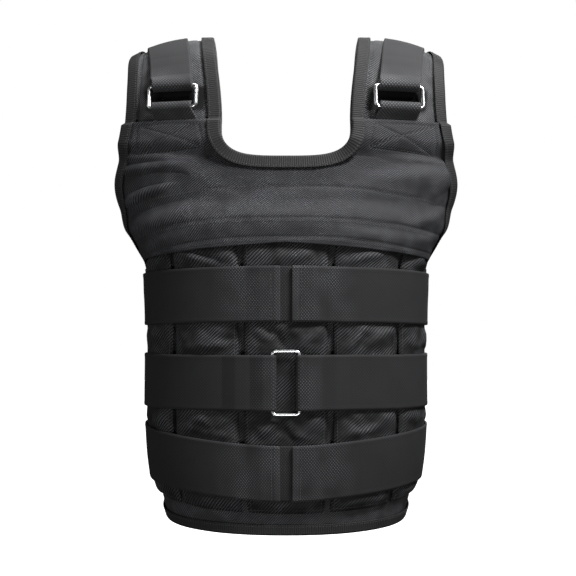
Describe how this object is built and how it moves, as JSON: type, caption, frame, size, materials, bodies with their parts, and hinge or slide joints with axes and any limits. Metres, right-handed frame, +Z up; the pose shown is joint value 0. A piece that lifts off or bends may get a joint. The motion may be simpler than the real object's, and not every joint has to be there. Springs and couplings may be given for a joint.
{
  "type": "weighted vest",
  "caption": "Open weighted training vest in its worn form, with pocket columns, wide webbing belts, padded shoulders and adjuster rings.",
  "frame": {"origin": "midway between the undersides of the two shoulder pads, at the crown of the shoulders", "axes": "+Z up, +X to the right seen from the front, -Y out of the front of the vest"},
  "size_m": [0.3318, 0.2133, 0.4833],
  "materials": {
    "cloth": "coarse nylon weave, matt",
    "pad_cloth": "smooth nylon over padding",
    "tape": "ribbed binding tape",
    "webbing": "woven webbing, matt",
    "metal": "polished wire"
  },
  "bodies": {
    "root": {"front_panel": "cloth", "back_panel": "cloth", "front_yoke": "cloth", "back_yoke": "cloth", "pocket_centre": "cloth", "pocket_mid_left": "cloth", "pocket_mid_right": "cloth", "pocket_side_left": "cloth", "pocket_side_right": "cloth", "neck_binding": "tape", "armhole_binding_left": "tape", "armhole_binding_right": "tape", "hem_binding": "tape", "shoulder_pad_left": "pad_cloth", "shoulder_pad_right": "pad_cloth", "upper_webbing_left": "webbing", "upper_webbing_right": "webbing", "lower_webbing_left": "webbing", "lower_webbing_right": "webbing", "shoulder_ring_under_left": "metal", "shoulder_ring_under_right": "metal", "shoulder_ring_over_left": "metal", "shoulder_ring_over_right": "metal", "middle_ring": "metal", "top_belt_left": "webbing", "top_belt_right": "webbing", "middle_belt_left": "webbing", "middle_belt_right": "webbing", "bottom_belt_left": "webbing", "bottom_belt_right": "webbing", "top_patch": "webbing", "bottom_patch": "webbing"}
  },
  "joints": []
}
